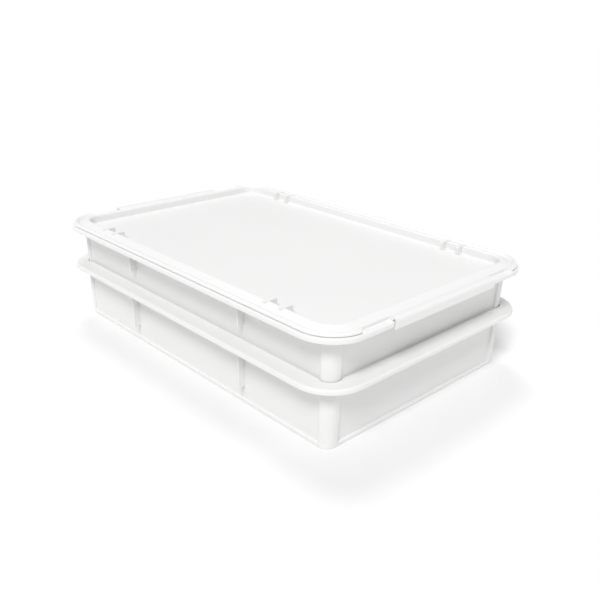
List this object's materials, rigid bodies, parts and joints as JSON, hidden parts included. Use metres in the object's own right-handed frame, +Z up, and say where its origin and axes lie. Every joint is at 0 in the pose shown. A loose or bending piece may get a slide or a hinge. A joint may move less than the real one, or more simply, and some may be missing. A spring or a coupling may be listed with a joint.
{
  "type": "dough proofing container",
  "caption": "A deep tray, a shallower tray nested in its rim and a lift-off lid with a sunk panel and end grip flaps, all rectangular with rounded corners and turned-down rims.",
  "frame": {"origin": "middle of the deep tray's flat underside, on the surface that it stands on", "axes": "+X along the length, +Y across the width, +Z up"},
  "size_m": [0.607, 0.4, 0.1583],
  "materials": {
    "tray_plastic": "white food-grade polypropylene with a soft satin face",
    "lid_plastic": "white food-grade polypropylene with a soft satin face"
  },
  "bodies": {
    "lower_tray": {"lower_tray": "tray_plastic"},
    "upper_tray": {"upper_tray": "tray_plastic"},
    "lid": {"lid": "lid_plastic"}
  },
  "joints": [
    {"name": "upper_tray_lift", "type": "slide", "parent": "lower_tray", "child": "upper_tray", "axis": [0, 0, 1], "range_m": [0, 0.2]},
    {"name": "lid_lift", "type": "slide", "parent": "upper_tray", "child": "lid", "axis": [0, 0, 1], "range_m": [0, 0.15]}
  ]
}
